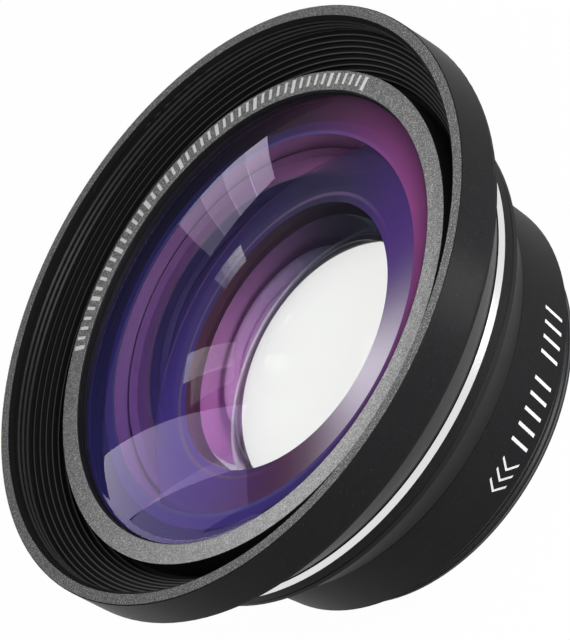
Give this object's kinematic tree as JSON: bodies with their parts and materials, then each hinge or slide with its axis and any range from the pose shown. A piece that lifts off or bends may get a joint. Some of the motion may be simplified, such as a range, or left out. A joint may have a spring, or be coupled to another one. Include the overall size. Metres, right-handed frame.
{
  "type": "wide-angle conversion lens",
  "caption": "Screw-on wide-angle conversion lens: flared hood, bulging coated front glass, and a macro unit that unscrews behind.",
  "frame": {"origin": "centre of the mount thread's end face, on which the lens stands", "axes": "+Z along the optical axis towards the front glass; the lens is turned about it"},
  "size_m": [0.08, 0.08, 0.0354],
  "materials": {
    "grained_black": "fine grained black anodise",
    "smooth_black": "smooth satin black anodise",
    "name_ring_grey": "sparkling blasted dark grey anodise",
    "silver": "bright turned",
    "matte_black": "matte black",
    "gasket": "matte",
    "coated_glass": "polished, purple and blue anti-reflection coating",
    "clear_glass": "polished, pale green coating"
  },
  "bodies": {
    "macro_unit": {"macro_barrel": "grained_black", "macro_front_glass": "clear_glass", "macro_spacer": "matte_black", "macro_rear_glass": "clear_glass", "macro_retaining_ring": "matte_black"},
    "screw_carriage": {"second_glass": "coated_glass"},
    "wide_unit": {"front_barrel": "grained_black", "name_ring": "name_ring_grey", "front_gasket": "gasket", "front_glass": "coated_glass", "cone_spacer": "matte_black", "cell_body": "smooth_black", "crown_glass": "clear_glass", "flint_glass": "clear_glass", "rear_retaining_ring": "matte_black", "silver_trim_ring": "silver", "rear_ring": "grained_black"}
  },
  "joints": [
    {"name": "unscrew_rise", "type": "slide", "parent": "macro_unit", "child": "screw_carriage", "axis": [0, 0, 1], "range_m": [0, 0.003]},
    {"name": "unscrew_turn", "type": "hinge", "parent": "screw_carriage", "child": "wide_unit", "pos_m": [0, 0, 0.0128], "axis": [0, 0, 1], "range_deg": [0, 1440]}
  ],
  "couplings": [
    {"joint": "unscrew_rise", "follows": "unscrew_turn", "m_per_rad": 0.00011937}
  ]
}
